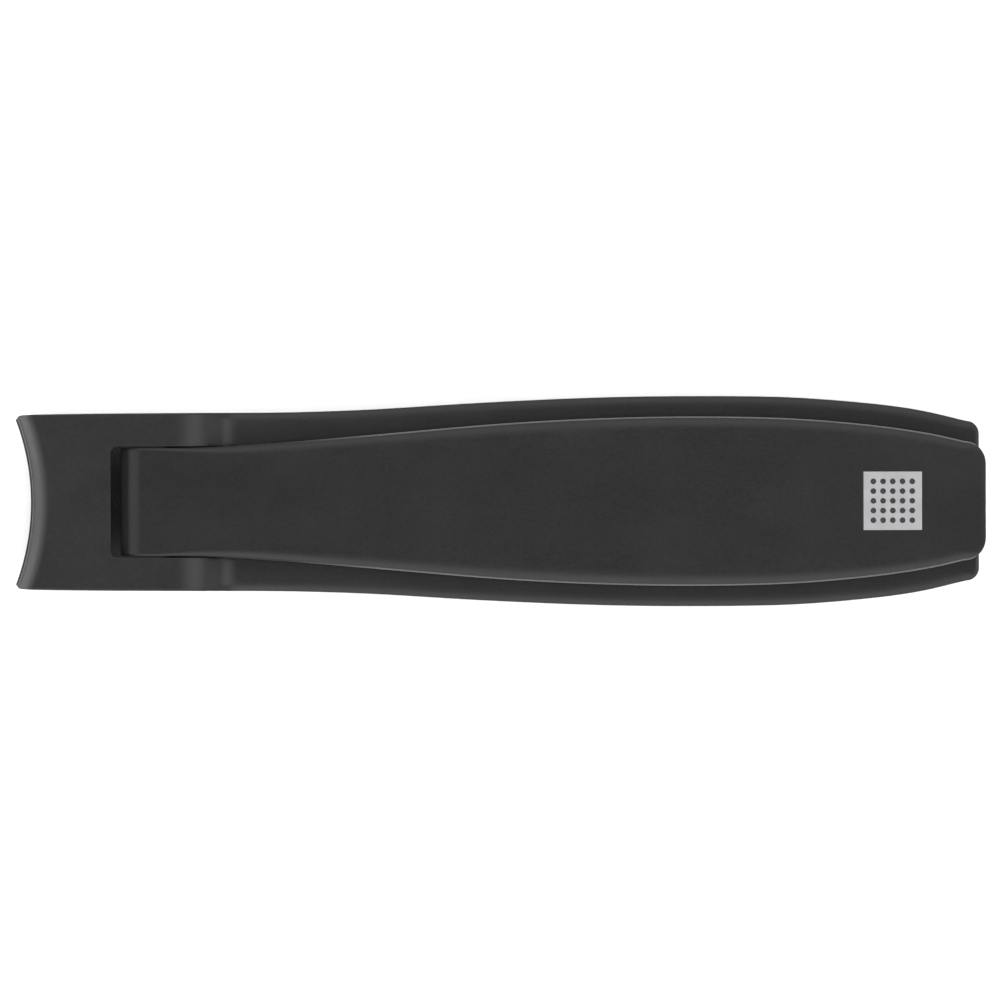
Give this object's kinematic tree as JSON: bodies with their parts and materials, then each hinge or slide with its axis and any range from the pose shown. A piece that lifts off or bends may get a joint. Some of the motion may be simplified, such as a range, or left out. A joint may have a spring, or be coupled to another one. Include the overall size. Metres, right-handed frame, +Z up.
{
  "type": "nail clipper",
  "caption": "Slim fold-flat nail clipper with concave jaws, a sprung upper leaf and a lever that hinges on a yoke in the jaw and lies flat along the handle.",
  "frame": {"origin": "middle of the underside's bounding box, on the surface the clipper lies on", "axes": "+X along the handle from the jaws to the lever's free end, +Y across the width, +Z up from the lower leaf to the lever"},
  "size_m": [0.06, 0.013, 0.006],
  "materials": {
    "leaf_black": "matte black coating over steel",
    "spacer_black": "matte black coating over steel",
    "rivet_black": "matte black coating over steel, slightly worn",
    "yoke_steel": "ground steel",
    "lever_black": "matte black coating over steel, fine lengthwise grain",
    "pin_steel": "ground steel",
    "inlay_grey": "satin"
  },
  "bodies": {
    "body": {"lower_leaf": "leaf_black", "upper_leaf_root": "leaf_black", "rear_spacer": "spacer_black", "rear_rivets": "rivet_black", "yoke": "yoke_steel"},
    "upper_jaw": {"upper_leaf": "leaf_black"},
    "lever": {"lever": "lever_black", "lever_pin": "pin_steel", "inlay_plate": "inlay_grey"}
  },
  "joints": [
    {"name": "lever_hinge", "type": "hinge", "parent": "body", "child": "lever", "pos_m": [-0.0221, 0, 0.00465], "axis": [0, -1, 0], "range_deg": [0, 40]},
    {"name": "jaw_flex", "type": "hinge", "parent": "body", "child": "upper_jaw", "pos_m": [0.006, 0, 0.00395], "axis": [0, 1, 0], "range_deg": [0, 3.4]}
  ],
  "couplings": [
    {"joint": "jaw_flex", "follows": "lever_hinge", "ratio": 0.084}
  ]
}
